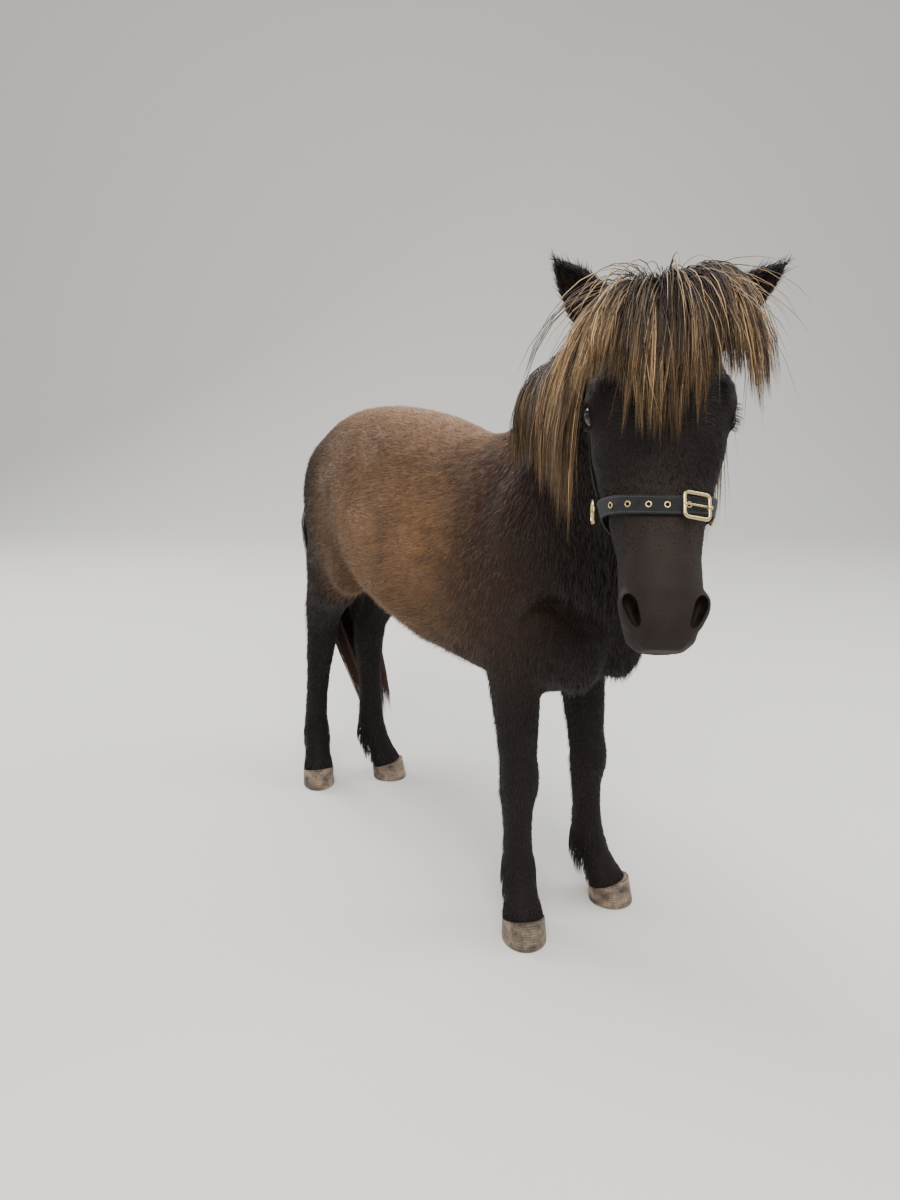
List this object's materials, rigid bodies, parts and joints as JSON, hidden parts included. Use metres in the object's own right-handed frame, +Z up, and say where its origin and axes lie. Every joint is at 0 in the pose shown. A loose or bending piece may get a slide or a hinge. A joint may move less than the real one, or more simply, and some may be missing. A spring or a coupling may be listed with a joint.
{
  "type": "shetland pony",
  "caption": "Life-size young Shetland pony standing with its head turned, with a thick forelock and mane, long tail and a webbing head collar.",
  "frame": {"origin": "on the ground under the middle of the whole pony's bounding box", "axes": "+Z up; the pony faces -Y with its left side towards +X; its head is turned to its right"},
  "size_m": [0.4574, 1.189, 1.0111],
  "materials": {
    "head_coat": "short dark brown-black hair, greyer on the muzzle",
    "forelock_hair": "long dark hair, golden towards the tips",
    "neck_coat": "dark brown coat, mane dark at the roots and golden at its tips",
    "torso_coat": "soft brown coat with a pale golden sheen along the barrel",
    "tail_hair": "long dark hair with reddish tips",
    "ear_coat": "short dark hair, woolly inside",
    "leg_coat": "near-black hair, longer behind the fetlocks",
    "hoof_horn": "dry horn with growth rings",
    "eye": "dark glossy eye",
    "webbing": "ribbed dark nylon webbing",
    "brass": "pale brass-coloured metal, slightly worn"
  },
  "bodies": {
    "root": {"buckle": "brass", "ear_left": "ear_coat", "ear_right": "ear_coat", "eye_left": "eye", "eye_right": "eye", "forelock": "forelock_hair", "head": "head_coat", "headstall": "webbing", "hoof_fore_left": "hoof_horn", "hoof_fore_right": "hoof_horn", "hoof_hind_left": "hoof_horn", "hoof_hind_right": "hoof_horn", "leg_fore_left": "leg_coat", "leg_fore_right": "leg_coat", "leg_hind_left": "leg_coat", "leg_hind_right": "leg_coat", "neck": "neck_coat", "noseband": "webbing", "ring_left": "brass", "ring_right": "brass", "shank_fore_left": "leg_coat", "shank_fore_right": "leg_coat", "shank_hind_left": "leg_coat", "shank_hind_right": "leg_coat", "tail": "tail_hair", "torso": "torso_coat"}
  },
  "joints": []
}
